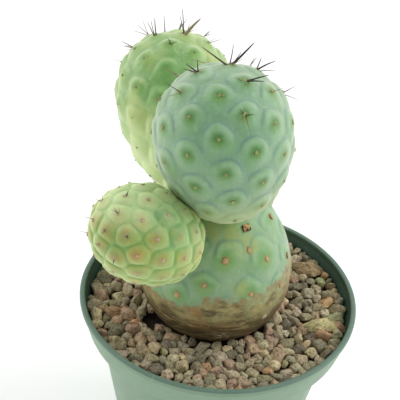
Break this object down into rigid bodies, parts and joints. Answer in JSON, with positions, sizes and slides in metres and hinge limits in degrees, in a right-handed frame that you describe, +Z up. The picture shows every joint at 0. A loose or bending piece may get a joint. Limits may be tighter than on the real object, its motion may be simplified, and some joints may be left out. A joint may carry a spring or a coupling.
{
  "type": "potted cactus",
  "caption": "Segmented cactus with ball-shaped joints, flat tubercles and dark crown spines, standing in a gravel-topped round nursery pot.",
  "frame": {"origin": "centre of the pot's flat foot", "axes": "+Z up along the pot's axis; -Y is the side that the small left segment and the picture's view are on; +X to the viewer's right"},
  "size_m": [0.105, 0.1192, 0.1851],
  "materials": {
    "pot_plastic": "satin",
    "potting_mix": "matte",
    "gravel": "matte",
    "base_skin": "satin",
    "blue_skin": "satin",
    "yellow_skin": "satin"
  },
  "bodies": {
    "root": {"pot": "pot_plastic", "potting_mix": "potting_mix", "gravel": "gravel", "base_segment": "base_skin", "front_segment": "blue_skin", "back_segment": "yellow_skin", "left_segment": "yellow_skin"}
  },
  "joints": []
}
